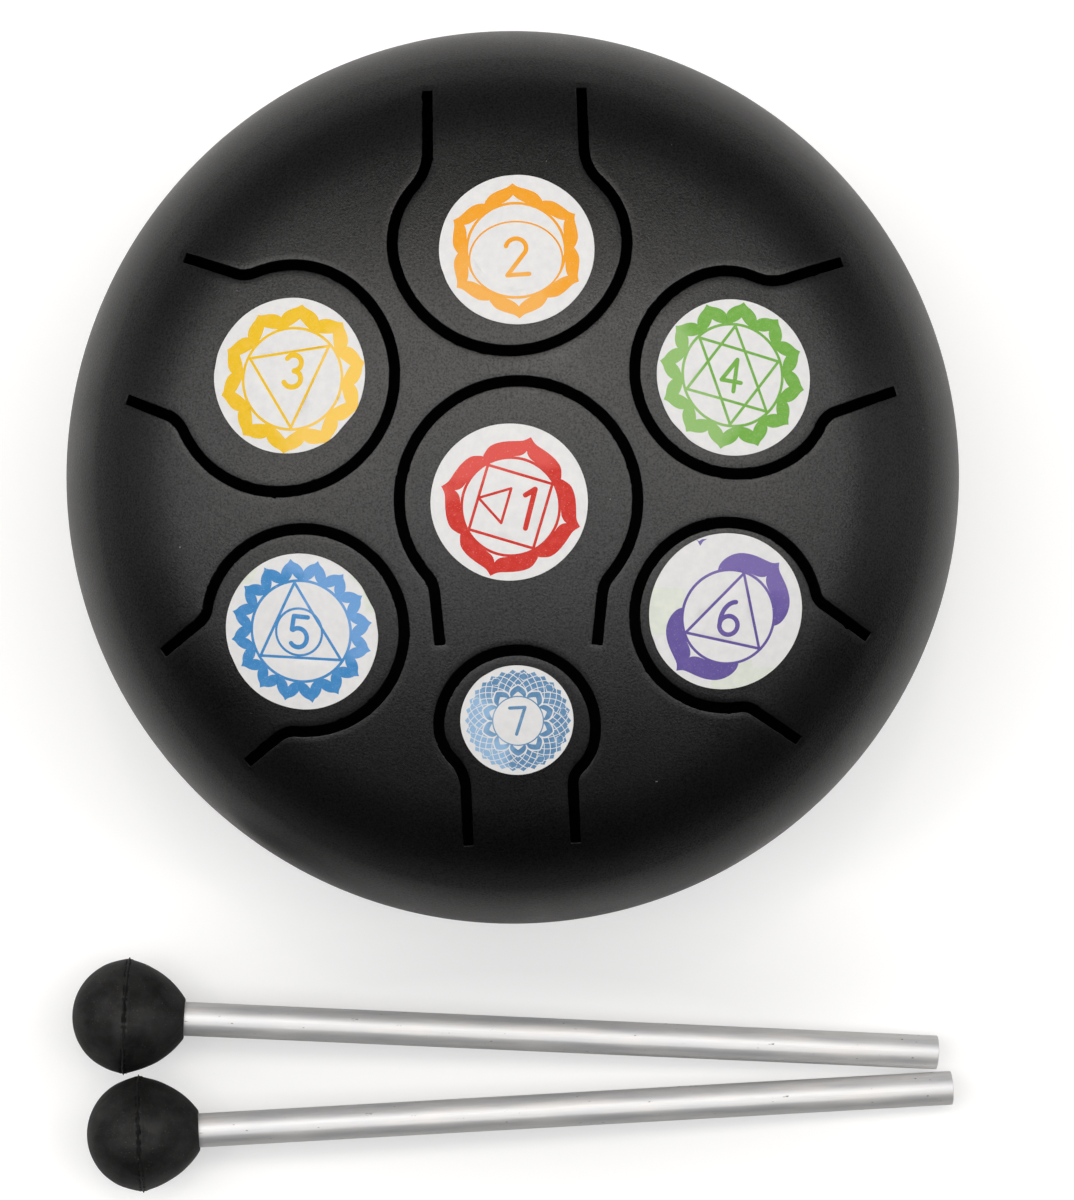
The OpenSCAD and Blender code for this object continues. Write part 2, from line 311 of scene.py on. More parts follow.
tongues = [
    Tongue("orange", 19, 25, 0.528, 90.5, 0.509, 90.5, (105, 105), (0.73, 0.72), (0.47, 0.42),
           (0.4, -1.6), (0.06, -0.133)),
    Tongue("yellow", 18.6, 24.9, 0.506, 157.9, 0.537, 157.6, (105, 105), (0.92, 0.84), (0.29, 0.26),
           (0.7, -3), (0.037, -0.075)),
    Tongue("green", 16.5, 22.7, 0.424, 24, 0.528, 24, (85, 80), (0.71, 0.78), (0.44, 0.24),
           (-5.2, 4), (0.041, -0.053)),
    Tongue("red", 19, 25.1, 0.5, -90, 0.064, -76.5, (80, 80), (0.96, 0.94), (0.31, 0.29),
           (-5.7, -5.7), (0.076, 0.016)),
    Tongue("violet", 14.9, 20.2, 0.495, -33.7, 0.554, -33.7, (80, 80), (0.98, 1), (0.22, 0.24),
           (-1.1, 0), (-0.029, -0.033)),
    Tongue("blue", 16.3, 22.5, 0.502, -142.7, 0.561, -142.7, (80, 83), (1, 0.89), (0.29, 0.24),
           (1.8, -0.7), (0, 0.023)),
    Tongue("light_blue", 12.6, 17.4, 0.523, -88.8, 0.549, -88.8, (80, 99), (0.61, 0.64), (0.33, 0.6),
           (1.8, -1), (0, -0.104)),
]


def leant(deg):
    """A unit vector in a tongue's own plan, at an angle in degrees from straight out."""
    return Vector((math.sin(math.radians(deg)), math.cos(math.radians(deg))))


def arc(centre, radius, start, end, inwards=False):
    """Points on an arc, each with the direction away from the tongue; angles from straight out."""
    count = max(2, math.ceil(abs(start - end) / arc_step_deg))
    points = []
    for k in range(count + 1):
        way = leant(start + (end - start) * k / count)
        points.append((centre + (-radius if inwards else radius) * way, way))
    return points


def slot_side(tongue, side):
    """Half a slot's centre line, from the bulb's inner end along the bulb and bend to the leg's end.
    The bulb tightens at an angle, and one tangent arc leads from it to the straight leg."""
    r = tongue.bulb
    tight = tongue.shares[side] * r
    bend = tongue.bend[side] * r
    turn_at = tongue.tighten[side]
    lean = tongue.lean[side]
    leg_end = Vector((tongue.root[side], tongue.leg_end(side)))
    tight_c = (r - tight) * leant(turn_at)
    along = leant(lean)
    away = Vector((along.y, -along.x))
    from_tight = leg_end + bend * away - tight_c
    ahead = from_tight.dot(along)
    run = math.sqrt(ahead ** 2 - from_tight.dot(from_tight) + (tight + bend) ** 2) - ahead
    to_bend = from_tight + run * along
    meet = math.degrees(math.atan2(to_bend.x, to_bend.y))
    path = arc(Vector((0, 0)), r, 180, turn_at)
    path += arc(tight_c, tight, turn_at, meet)[1:]
    path += arc(tight_c + to_bend, bend, meet, 90 + lean, inwards=True)[1:]
    start = path[-1][0]
    count = max(2, math.ceil((leg_end - start).length / leg_step))
    return path + [(start.lerp(leg_end, k / count), away) for k in range(1, count + 1)]


def slot_outline(tongue):
    """The cut's edge in plan: points with the direction into the steel, corners a little rounded.
    It wanders a little, with small nicks and burrs where the noise is strongest."""
    right = slot_side(tongue, 1)
    left = [(Vector((-p.x, p.y)), Vector((-n.x, n.y))) for p, n in slot_side(tongue, 0)]
    line = right[::-1] + left[1:]
    half = slot_w / 2 - coat_t
    outline = []
    for sign, run in ((1, line), (-1, line[::-1])):
        outline += [(p + sign * half * n, sign * n) for p, n in run[1:-1]]
        last, way = run[-1][0], sign * run[-1][1]
        ahead = (run[-1][0] - run[-2][0]).normalized()
        for side in (1, -1):
            corner = last - corner_r * ahead + side * (half - corner_r) * way
            for k in range(edge_steps + 1):
                angle = quarter * (k if side == 1 else edge_steps - k) / edge_steps
                into = side * math.cos(angle) * way + math.sin(angle) * ahead
                outline.append((corner + corner_r * into, into))
    placed = []
    for p, n in outline:
        point = tongue.centre + p.x * tongue.across + p.y * tongue.out
        way = n.x * tongue.across + n.y * tongue.out
        spot = point.to_3d() / MM
        nick = max(0.0, noise.noise(nick_rate * spot) - nick_from)
        burr = max(0.0, noise.noise(burr_rate * spot + spot) - burr_from)
        shift = edge_wander * noise.noise(wander_rate * spot) + nick_depth * (nick - burr)
        placed.append((point + shift * way, way))
    return placed


def height(r, depth):
    """Height above the rim's plane of the pressed form at a depth under its outside."""
    if r * (crown_r - shoulder_r) < shoulder_x * (crown_r - depth):
        return crown_z + math.sqrt((crown_r - depth) ** 2 - r * r)
    return band_h + math.sqrt((shoulder_r - depth) ** 2 - (r - shoulder_x) ** 2)


def clockwise(points, loop):
    """Twice a loop's area, negative where its points run anticlockwise."""
    return sum(points[a][1] * points[b][0] - points[a][0] * points[b][1]
               for a, b in zip(loop, loop[1:] + loop[:1]))


def dome_plan(edges, reach, spacing):
    """Triangles in plan over the dome out to a ring, clear of the slots' widened outlines.
    Gives points, triangles, the index of each outline's points and of the ring's points."""
    points = []
    loops = []
    for edge in edges:
        loops.append(list(range(len(points), len(points) + len(edge))))
        points += [tuple(p) for p in edge]
    ring = list(range(len(points), len(points) + drum_steps))
    for k in range(drum_steps):
        angle = 2 * math.pi * k / drum_steps
        points.append((reach * math.cos(angle), reach * math.sin(angle)))
    fixed = np.array(points)
    clear = 0.6 * spacing
    for row in range(int(reach / spacing)):
        r = spacing * (row + 0.5)
        count = max(6, round(2 * math.pi * r / spacing))
        for k in range(count):
            angle = 2 * math.pi * (k + 0.5 * (row % 2)) / count
            p = (r * math.cos(angle), r * math.sin(angle))
            if np.min(np.hypot(*(fixed - p).T)) > clear and r < reach - clear:
                points.append(p)
    faces = [loop if clockwise(points, loop) < 0 else loop[::-1] for loop in loops]
    found = geometry.delaunay_2d_cdt([Vector(p) for p in points], [], faces, 0, 1e-9, True)
    at = {old: new for new, olds in enumerate(found[3]) for old in olds}
    triangles = [t for t, holes in zip(found[2], found[5]) if not holes]
    return ([Vector(p) for p in found[0]], triangles,
            [[at[k] for k in loop] for loop in loops], [at[k] for k in ring])


outlines = [slot_outline(tongue) for tongue in tongues]
widened = [[p + drawn_w * n for p, n in outline] for outline in outlines]
plan, triangles, holes, ring = dome_plan(widened, plan_reach, plan_step)
dome = bmesh.new()


def row_at(outline, away, depth, drop=0.0):
    """Vertices along a slot's outline moved into the steel, on the form at a depth, then down."""
    row = []
    for p, n in outline:
        spot = p + away * n
        row.append(dome.verts.new((spot.x, spot.y, height(spot.length, depth) - drop)))
    return row


ring_rows = {}
walls = {}
for depth in (0, steel_t):
    sheet = [dome.verts.new((p.x, p.y, height(p.length, depth))) for p in plan]
    for corners in triangles:
        dome.faces.new([sheet[k] for k in corners])
    ring_rows[depth] = [sheet[k] for k in ring]
    for number, (outline, hole) in enumerate(zip(outlines, holes)):
        rows = [[sheet[k] for k in hole]]
        if depth == 0:
            rows += [row_at(outline, slot_edge_r + share * (drawn_w - slot_edge_r), 0,
                            drawn_down * (1 - share) ** 2) for share in drawn_shares]
            rows += [row_at(outline, away, 0, drop) for away, drop in bent(
                (slot_edge_r, drawn_down + slot_edge_r), slot_edge_r, math.pi, 3 * quarter, edge_steps)]
        else:
            rows.append(row_at(outline, 0, depth))
        skin(dome, rows)
        walls[depth, number] = rows[-1]
for number in range(len(outlines)):
    skin(dome, [walls[0, number], walls[steel_t, number]])

lean_out = math.asin((plan_reach - shoulder_x) / shoulder_r)
lean_in = math.asin((plan_reach - shoulder_x) / (shoulder_r - steel_t))
rim_section = bent(shoulder_centre, shoulder_r, lean_out, quarter, rim_steps)[1:] + rim_of_half
rim_section += bent(shoulder_centre, shoulder_r - steel_t, quarter, lean_in, rim_steps)[:-1]
angles = [math.atan2(v.co.y, v.co.x) for v in ring_rows[0]]
rim_rows = [[dome.verts.new(round_z(r, z, a)) for a in angles] for r, z in rim_section]
skin(dome, [ring_rows[0], *rim_rows, ring_rows[steel_t]])
coat_inside(dome)
bmesh.ops.translate(dome, verts=dome.verts, vec=rim_centre)
top_half = finished_piece("top_half", dome, [coat, thin_coat])
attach(top_half, "drum")
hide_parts("top_shell")


# Weld: one bead laid round the rim in the groove between the halves, ground low and coated.
# Its ripples are the steps of the welding arc.
weld_proud = 0.24 * MM
bead_sizes = {"Rim radius": drum_r + weld_proud, "Bead height": weld_w, "Bead depth": 1.1 * MM,
              "Ripple pitch": 1.3 * MM, "Ripple share": 0.16}


def new_tree(name, start=False, **sizes):
    """A geometry tree with a float input for each size, and its inputs' sockets. Where it works on
    a mesh, that input comes first."""
    tree = bpy.data.node_groups.new(name, "GeometryNodeTree")
    kinds = {"Start": "Geometry"} if start else {}
    kinds |= {key: "Float" for key in sizes} | {"Material": "Material"}
    for key, kind in kinds.items():
        tree.interface.new_socket(key, in_out="INPUT", socket_type=f"NodeSocket{kind}")
    tree.interface.new_socket("Geometry", in_out="OUTPUT", socket_type="NodeSocketGeometry")
    return tree, tree.nodes.new("NodeGroupInput").outputs


def step(tree, kind, inputs=(), **settings):
    """The first output of a new node in a geometry tree."""
    return added(tree, f"GeometryNode{kind}", inputs, **settings).outputs[0]


def vector(tree, **parts):
    """A vector from its parts X, Y and Z, each a socket or a value."""
    return added(tree, "ShaderNodeCombineXYZ", parts).outputs[0]


def ended(tree, size, shape):
    """Ends a tree: its instances are made real, and its material is set."""
    solid = step(tree, "RealizeInstances", {0: shape})
    done = step(tree, "SetMaterial", {"Geometry": solid, "Material": size["Material"]})
    tree.links.new(done, tree.nodes.new("NodeGroupOutput").inputs[0])


def grown(name, tree, material, start=None, **sizes):
    """The plain mesh that a tree makes from its sizes, as a bmesh."""
    holder = put(name, start or bpy.data.meshes.new(name))
    modifier = holder.modifiers.new("grow", "NODES")
    modifier.node_group = tree
    values = {"Material": material, **sizes}
    for socket in tree.interface.items_tree:
        if socket.in_out == "INPUT" and socket.name in values:
            modifier[socket.identifier] = values[socket.name]
    ready = holder.evaluated_get(bpy.context.evaluated_depsgraph_get())
    mesh = bpy.data.meshes.new_from_object(ready)
    made = bmesh.new()
    made.from_mesh(mesh)
    bpy.data.objects.remove(holder)
    bpy.data.meshes.remove(mesh)
    return made


tree, size = new_tree("weld_bead", **bead_sizes)
middle = sums(tree, "SUBTRACT", size["Rim radius"], sums(tree, "DIVIDE", size["Bead depth"], 2))
path = step(tree, "CurvePrimitiveCircle", {"Radius": middle, "Resolution": 1440})
around = sums(tree, "MULTIPLY", middle, 2 * math.pi)
ripples = sums(tree, "ROUND", sums(tree, "DIVIDE", around, size["Ripple pitch"]))
share = step(tree, "SplineParameter")
phase = sums(tree, "MULTIPLY", sums(tree, "MULTIPLY", share, ripples), math.pi)
wave = sums(tree, "ABSOLUTE", sums(tree, "SINE", phase))
thickness = sums(tree, "SUBTRACT", 1, sums(tree, "MULTIPLY", size["Ripple share"],
                                           sums(tree, "SUBTRACT", 1, wave)))
circle = step(tree, "CurvePrimitiveCircle", {"Resolution": 20, "Radius": 0.5})
flat = vector(tree, X=size["Bead depth"], Y=size["Bead height"], Z=1)
section = step(tree, "Transform", {0: circle, "Scale": flat})
bead = step(tree, "CurveToMesh", {"Curve": path, "Profile Curve": section, "Scale": thickness})
ended(tree, size, bead)

weld_coat = powder_coat("weld_coat", (0.005, 0.005, 0.0052))
bead_mesh = grown("weld_bead", tree, weld_coat, **bead_sizes)
bmesh.ops.translate(bead_mesh, verts=bead_mesh.verts, vec=rim_centre)
weld_bead = finished_piece("weld_bead", bead_mesh, [weld_coat], crease_deg=60)
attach(weld_bead, "drum")
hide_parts("rim_weld")


# Stickers: seven paper discs cut out by hand and glued one on each tongue, the smallest on the
# smallest. Each is printed in one ink with a lotus, a plain figure inside it and its tongue's number.
sticker_r = 12.7 * MM
small_sticker_r = 9.1 * MM
sticker_t = 0.148 * MM
line_w = 0.45
PAPER, INK, TINT = 0, 1, 2


def ways(*degrees):
    """Unit vectors at angles in degrees, anticlockwise from +X."""
    return [toward(deg) for deg in degrees]


def all_round(count):
    """Unit vectors at even angles, all the way round."""
    return ways(*(360 * k / count for k in range(count)))


def round_shape(r, centre=(0, 0), tall=1.0, count=72):
    """A circle, or an ellipse of another height, in millimetres on the paper."""
    return [Vector(centre) + Vector((r * w.x, tall * r * w.y)) for w in all_round(count)]


def ring_line(r, width=line_w, centre=(0, 0), tall=1.0):
    """A drawn circle: its ink, then the paper inside it."""
    return [(INK, round_shape(r + width / 2, centre, tall)),
            (PAPER, round_shape(r - width / 2, centre, tall))]


def line(a, b, width=line_w):
    """A straight stroke with square ends that reach half its width past its points."""
    a, b = Vector(a), Vector(b)
    ahead = (b - a).normalized() * width / 2
    side = Vector((-ahead.y, ahead.x))
    return (INK, [a - ahead - side, b + ahead - side, b + ahead + side, a - ahead + side])


def frame_of_lines(r, degrees, width=line_w):
    """Straight strokes from corner to corner of a figure inside a circle."""
    corners = [r * w for w in ways(*degrees)]
    return [line(a, b, width) for a, b in zip(corners, corners[1:] + corners[:1])]


def brushed(points, width):
    """A thick stroke along points, as a chain of round-ended pieces."""
    pieces = []
    for start, end in zip(points, points[1:]):
        start, end = Vector(start), Vector(end)
        heading = math.degrees(math.atan2(end.y - start.y, end.x - start.x))
        caps = [(end, -90), (start, 90)]
        pieces.append((INK, [spot + width / 2 * w for spot, first in caps
                             for w in ways(*(heading + first + 30 * k for k in range(7)))]))
    return pieces


def bow(centre, rx, ry, start, end, count=16):
    """Points on an elliptical arc, by angle."""
    return [(centre[0] + rx * w.x, centre[1] + ry * w.y)
            for w in ways(*(start + (end - start) * k / count for k in range(count + 1)))]


# Strokes of the plain numerals, in a box one high with its middle at the origin
numerals = {
    1: [[(-0.18, 0.3), (0.02, 0.5), (0.02, -0.5)]],
    2: [bow((0, 0.24), 0.27, 0.26, 165, -30) + [(-0.28, -0.5), (0.3, -0.5)]],
    3: [bow((-0.02, 0.25), 0.25, 0.25, 150, -80) + bow((-0.02, -0.24), 0.28, 0.26, 80, -150)],
    4: [[(0.12, -0.5), (0.12, 0.5), (-0.3, -0.2), (0.32, -0.2)]],
    5: [[(0.26, 0.5), (-0.2, 0.5), (-0.24, 0.06)] + bow((-0.02, -0.19), 0.29, 0.31, 130, -140)],
    6: [bow((0.14, -0.1), 0.42, 0.6, 95, 190) + bow((0, -0.22), 0.28, 0.28, 190, 530, 24)],
    7: [[(-0.28, 0.5), (0.28, 0.5), (-0.08, -0.5)]],
}


def numeral(number, centre, height_mm, tilt_deg=0.0, weight=0.15):
    """A plain numeral drawn with a round brush, its weight a share of its height."""
    turned_by = Matrix.Rotation(math.radians(tilt_deg), 2)
    strokes = []
    for points in numerals[number]:
        placed = [Vector(centre) + turned_by @ (height_mm * Vector(p)) for p in points]
        strokes += brushed(placed, weight * height_mm)
    return strokes


def petal_side(half_deg, radii, count=3):
    """One side of a petal, from its valley to its tip, as a smooth line through its radii. Each is
    given with its share of the petal's half angle."""
    stops = [(share * half_deg, r) for share, r in radii]
    before = (stops[0][0], 2 * stops[0][1] - stops[1][1])
    past = (0, 1.2 * stops[-1][1] - 0.2 * stops[-2][1])
    stops = [before, *stops, past]
    points = []
    for four in zip(stops, stops[1:], stops[2:], stops[3:]):
        for k in range(count):
            t = k / count
            deg, r = (0.5 * (2 * q + (s - p) * t + (2 * p - 5 * q + 4 * s - u) * t * t
                             + (3 * q - p - 3 * s + u) * t ** 3) for p, q, s, u in zip(*four))
            points.append(r * toward(deg))
    return points + [Vector((radii[-1][1], 0))]


def foot_star(ring_r, tip_r, half_deg, pinch):
    """A small star on the ring at a petal's foot, its sides drawn in."""
    star = []
    corners = [(ring_r, -half_deg), (tip_r, 0), (ring_r, half_deg)]
    for (r1, a1), (r2, a2) in zip(corners, corners[1:]):
        one, two = r1 * toward(a1), r2 * toward(a2)
        sag = Vector((ring_r + pinch * (tip_r - ring_r), pinch * (one.y + two.y)))
        star += [(1 - t) ** 2 * one + 2 * t * (1 - t) * sag + t * t * two
                 for t in (0, 0.2, 0.4, 0.6, 0.8)]
    return star + [ring_r * w for w in ways(half_deg, half_deg / 2, 0, -half_deg / 2)]


def round_about(count, first_deg, shape):
    """The same shape at even angles round the print's middle."""
    turns = [Matrix.Rotation(math.radians(first_deg + 360 * k / count), 2) for k in range(count)]
    return [[t @ p for p in shape] for t in turns]


def petal(foot_r, half_deg, radii, foot=(1.05, -1.05)):
    """A petal's outline about its own axis. Its foot, in shares of its half angle, is hidden by
    the paper inside the ring, and laps over its neighbours' feet."""
    left = petal_side(half_deg, radii)
    right = petal_side(-half_deg, radii)
    return right + left[-2::-1] + [foot_r * w for w in ways(*(half_deg * f for f in foot))]


def lotus(count, first_deg, ring_r, leaf, star, width=line_w):
    """A ring of petals in one ink round a circle, with a small hollow star at each petal's foot."""
    foot = ring_r + width / 2
    layers = [(INK, shape) for shape in round_about(count, first_deg, leaf)]
    layers.append((INK, round_shape(foot)))
    layers += [(PAPER, shape) for shape in round_about(count, first_deg, foot_star(foot, *star))]
    return layers + [(PAPER, round_shape(ring_r - width / 2))]


def crossed_petals(count, inner_r, outer_r, sweep_deg, width=0.13):
    """Many petals that lap over each other: a toothed disc in ink, crossed by fine paper lines that
    bow inwards to both sides of each tip."""
    teeth = enumerate(all_round(2 * count))
    layers = [(INK, [(outer_r - 0.6 * (k % 2)) * w for k, w in teeth])]
    start_r = outer_r + 0.2
    last = 7
    for side in (-1, 1):
        path = [(start_r + (inner_r - start_r) * k / last)
                * toward(side * sweep_deg * (k / last) ** 0.85) for k in range(last + 1)]
        left, right = [], []
        for k, p in enumerate(path):
            ahead = (path[min(k + 1, last)] - path[max(k - 1, 0)]).normalized() * width / 2
            left.append(p + Vector((-ahead.y, ahead.x)))
            right.append(p - Vector((-ahead.y, ahead.x)))
        stroke = left + right[::-1]
        layers += [(PAPER, shape) for shape in round_about(count, 0, stroke)]
    return layers


def shifted(right, up, layers):
    """The same layers beside the sticker's middle, as the paper was cut a little off."""
    return [(kind, [p + Vector((right, up)) for p in shape]) for kind, shape in layers]


# Each print's layers, painted one over another, in millimetres on the paper
prints = {
    "orange": shifted(
        -0.12, -0.27, lotus(6, 33, 7.88, petal(7.6, 30, [
            (1, 9.3), (0.9, 9.65), (0.7, 10.15), (0.4, 10.42), (0.15, 10.7), (0, 11.3)]), (9.3, 14, 0.3))
        + ring_line(7.45, 0.32, (0, -1.5), 0.84) + numeral(2, (0.1, -1.1), 6.0, 4, 0.12)),
    "yellow": shifted(
        0.6, -0.6, lotus(10, 83, 8.2, petal(7.9, 18, [
            (1, 10.2), (0.8, 10.85), (0.5, 11.3), (0.2, 11.62), (0, 12.1)]), (9.75, 12, 0.4))
        + frame_of_lines(7.9, (153.7, 40, 268.2)) + numeral(3, (0.2, 1.2), 5.2, -6, 0.16)),
    "green": shifted(
        -0.25, 0.33, lotus(12, 80.5, 8.25, petal(7.9, 15, [
            (1, 9.9), (0.8, 10.6), (0.5, 11.15), (0.2, 11.55), (0, 12.1)]), (9.55, 9.2, 0.33))
        + frame_of_lines(8.0, (86.4, 198, 314.2)) + frame_of_lines(8.0, (132.8, 17.6, 266.6))
        + numeral(4, (-0.2, 0), 5.2, -8, 0.13)),
    "red": shifted(
        0.2, -0.74, lotus(4, 73.7, 7.8, petal(7.5, 45, [
            (1, 9.1), (0.9, 9.65), (0.78, 10.15), (0.6, 10.35), (0.3, 10.45), (0.12, 10.7), (0, 11.5)]),
                          (9.25, 13, 0.15))
        + frame_of_lines(7.55, (28.5, 118.5, 208.5, 298.5))
        + [stroke for a, b in (((-5.1, 1.4), (0.1, 2.9)), ((0.1, 2.9), (-1.5, -2.6)),
                               ((-1.5, -2.6), (-5.1, 1.4))) for stroke in brushed((a, b), 0.42)]
        + numeral(1, (3.0, -0.3), 6.4, -14, 0.13)),
    "violet": shifted(
        0.35, -0.85, lotus(2, 45.2, 7.6, petal(7.2, 58, [
            (1, 7.7), (0.93, 8.7), (0.78, 9.7), (0.6, 10.4), (0.4, 10.68), (0.2, 10.85), (0.07, 11.2),
            (0, 12.0)], foot=(1, 0.5, 0, -0.5, -1)), (9.0, 17, 0.15))
        + frame_of_lines(7.4, (69.9, 198.4, 314.1)) + numeral(6, (0.2, -0.2), 5.4, -10, 0.14)),
    "blue": shifted(
        0, 0.15, lotus(16, 8.5, 8.2, petal(7.9, 11.25, [
            (1, 9.75), (0.8, 10.35), (0.5, 10.9), (0.2, 11.25), (0, 11.8)]), (9.4, 5.6, 0.32))
        + ring_line(3.8, 0.38, (-0.3, -0.1)) + frame_of_lines(7.95, (97.4, 211.8, 325.9))
        + numeral(5, (-0.3, -0.1), 5.0, -4, 0.15)),
    "light_blue": shifted(
        0.2, -0.05, crossed_petals(30, 5.2, 8.5, 33)
        + [(kind, shape) for kind, trim in ((PAPER, 0), (INK, 0.12))
           for shape in round_about(10, 11, [Vector(p) for p in (
               (6.6 + 1.5 * trim, 0), (7.2, 0.3 * trim - 0.75), (7.6, 0.8 * trim - 0.7),
               (8.15 - 1.5 * trim, 0), (7.6, 0.7 - 0.8 * trim), (7.2, 0.75 - 0.3 * trim))])]
        + [(PAPER, shape) for shape in round_about(10, 18, petal(3.9, 18, [
            (1, 4.9), (0.78, 5.35), (0.4, 5.75), (0, 6.1)]))]
        + lotus(10, 18, 4.06, petal(3.9, 16.5, [(1, 4.5), (0.85, 5.0), (0.42, 5.52), (0, 5.87)]),
                (4.85, 12, 0.55), 0.2)
        + numeral(7, (0, 0), 4.4, 3, 0.12)),
}
# A tip of the next print on the sheet is left on the violet sticker, where the paper was cut
prints["violet"] += shifted(-4.3, 11.4, [
    (INK, [0.8 * p for p in map(Vector, ((-1.1, 0.5), (-0.5, 0.1), (0, -0.9), (0.6, 0.0),
                                         (1.5, 0.5), (0.4, 0.45), (-0.2, 0.1)))])])

# Pale green panels of the printed sheet show beside two of the prints
panels = {
    "violet": [((-12.6, 4.4), (-6.9, 3.9), (-6.6, -3.6), (-12.6, -3.45)),
               ((-2.4, -11.2), (-2.2, -13.4), (4.6, -13.4), (8.3, -9.4), (4.5, -9.15), (4.35, -8.0),
                (1.0, -8.4))],
    "blue": [((-12.6, 7.2), (-8.2, 7.6), (-6.1, 12.6), (-12.6, 12.6)),
             ((7.6, 9.6), (12.0, 8.2), (12.6, 3.4), (10.6, 3.6), (10.1, 7.2))],
}
for name, areas in panels.items():
    prints[name] = [(TINT, [Vector(p) for p in area]) for area in areas] + prints[name]

# Ink colours, strong and dry, and the way in which each print runs pale
inks = {
    "orange": ((0.755, 0.307, 0.011), (0.763, 0.371, 0.074), -100),
    "yellow": ((0.726, 0.451, 0.007), (0.794, 0.510, 0.091), -20),
    "green": ((0.144, 0.357, 0.050), (0.247, 0.440, 0.138), 195),
    "red": ((0.507, 0.022, 0.013), (0.614, 0.074, 0.060), 110),
    "violet": ((0.110, 0.076, 0.285), (0.165, 0.120, 0.350), 70),
    "blue": ((0.041, 0.211, 0.471), (0.134, 0.307, 0.594), 40),
    "light_blue": ((0.092, 0.217, 0.377), (0.258, 0.424, 0.623), 200),
}
# How each disc was cut: its share of the full size, and the straight snips that the scissors
# left on its edge, each with its direction and its depth over the radius
cuts = {
    "orange": (0.985, [(200, 0.010), (95, 0.006)]), "yellow": (0.993, [(-42, 0.022), (170, 0.008)]),
    "green": (1.0, [(225, 0.016), (200, 0.010)]), "red": (0.99, [(20, 0.006)]),
    "violet": (1.0, [(200, 0.008)]), "blue": (0.998, [(28, 0.02), (8, 0.012), (205, 0.015)]),
    "light_blue": (1.0, [(120, 0.01)]),
}


def paper_finish(name, one, other):
    """Uncoated label paper, with faint fibres and a tone that drifts between two."""
    material, shader = new_finish(name, (0.665, 0.665, 0.665), 0.62, specular=0.2)
    linked(shader, ramp(shader, grain(shader, 1.4 * MM, 5), (0.35, one), (0.65, other)), "Base Color")
    bumped(shader, (grain(shader, 0.18 * MM, 3), 0.006 * MM))
    return material


def mapped(shader, place, location=(0, 0, 0), rotation=(0, 0, 0), scale=(1, 1, 1)):
    """A place as seen from a frame that is moved, turned and stretched so."""
    return added(shader, "ShaderNodeMapping", {
        "Vector": place, "Location": location, "Rotation": rotation, "Scale": scale},
                 vector_type="TEXTURE").outputs[0]


def ink_finish(name, strong, pale, pale_deg, centre, radius):
    """Ink printed a little dry: it runs pale to one side, and lets specks of paper through."""
    material, shader = new_finish(name, strong, 0.55, specular=0.2)
    centred = mapped(shader, on_piece(shader), centre, (0, 0, math.radians(pale_deg)), [radius] * 3)
    across = added(shader, "ShaderNodeSeparateXYZ", {0: centred}).outputs["X"]
    runs = ramp(shader, sums(shader, "ADD", grain(shader, 5 * MM, 2), across), (0.7, 0), (1.3, 1))
    cloudy = ramp(shader, grain(shader, 1.1 * MM, 5), (0.45, 0), (0.9, 0.7))
    uneven = mixed(shader, cloudy, mixed(shader, runs, strong, pale), pale)
    bare = ramp(shader, grain(shader, 0.22 * MM, 3), (0.62, 0), (0.8, 0.6))
    linked(shader, mixed(shader, bare, uneven, (0.65, 0.645, 0.64)), "Base Color")
    return material


def sticker_spot(tongue):
    """The point and axes on the crown of a sticker's middle: its normal, east and north."""
    right, outwards = tongue.sticker
    spot = tongue.centre + tongue.bulb * (right * tongue.across + outwards * tongue.out)
    up = Vector((spot.x, spot.y, math.sqrt(crown_r ** 2 - spot.length_squared))) / crown_r
    east = Vector((1, 0, 0))
    east = (east - east.dot(up) * up).normalized()
    return up, east, up.cross(east)


def cut_edge(radius, size_share, snips, seed):
    """The hand-cut edge of a sticker, in millimetres: a little uneven, with straight snips."""
    edge = []
    for way in all_round(120):
        wobble = noise.noise(Vector((1.7 * way.x, 1.7 * way.y, 3.1 * seed)))
        r = radius * size_share * (0.996 + 0.008 * wobble)
        for snip_deg, depth in snips:
            cosine = way.dot(toward(snip_deg))
            if cosine > 0.5:
                r = min(r, radius * size_share * (1 - depth) / cosine)
        edge.append(min(r, radius) * way)
    return edge


